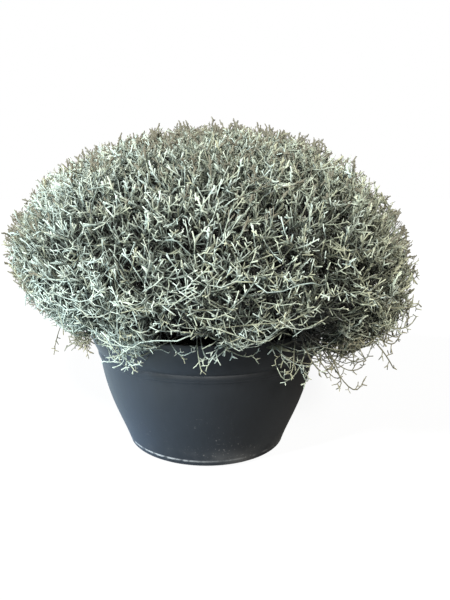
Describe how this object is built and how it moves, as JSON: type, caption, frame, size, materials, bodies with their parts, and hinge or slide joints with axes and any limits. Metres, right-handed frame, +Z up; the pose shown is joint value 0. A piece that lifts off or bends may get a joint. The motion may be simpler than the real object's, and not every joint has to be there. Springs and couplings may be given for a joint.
{
  "type": "potted cushion bush",
  "caption": "Silver dome of fine forked twigs growing in a round dark plastic bowl pot and hanging over its rim; stands on a floor, table or ledge.",
  "frame": {"origin": "centre of the pot's underside, on the ground", "axes": "+Z up along the pot's axis, +X to the right and -Y towards the viewer in the picture"},
  "size_m": [0.5064, 0.5034, 0.4014],
  "materials": {
    "pot_plastic": "matte anthracite moulded plastic",
    "soil": "damp crumbly compost",
    "bark": "rough grey-brown bark",
    "silver_twigs": "felted silver-grey twigs"
  },
  "bodies": {
    "root": {"pot": "pot_plastic", "soil": "soil", "woody_base": "bark", "spray_top": "silver_twigs", "spray_high_1": "silver_twigs", "spray_high_2": "silver_twigs", "spray_high_3": "silver_twigs", "spray_high_4": "silver_twigs", "spray_high_5": "silver_twigs", "spray_high_6": "silver_twigs", "spray_side_1": "silver_twigs", "spray_side_2": "silver_twigs", "spray_side_3": "silver_twigs", "spray_side_4": "silver_twigs", "spray_side_5": "silver_twigs", "spray_side_6": "silver_twigs", "spray_side_7": "silver_twigs", "spray_side_8": "silver_twigs", "spray_side_9": "silver_twigs", "spray_side_10": "silver_twigs", "spray_skirt_1": "silver_twigs", "spray_skirt_2": "silver_twigs", "spray_skirt_3": "silver_twigs", "spray_skirt_4": "silver_twigs", "spray_skirt_5": "silver_twigs", "spray_skirt_6": "silver_twigs", "spray_skirt_7": "silver_twigs", "spray_skirt_8": "silver_twigs", "spray_skirt_9": "silver_twigs", "spray_skirt_10": "silver_twigs", "spray_skirt_11": "silver_twigs", "spray_skirt_12": "silver_twigs"}
  },
  "joints": []
}
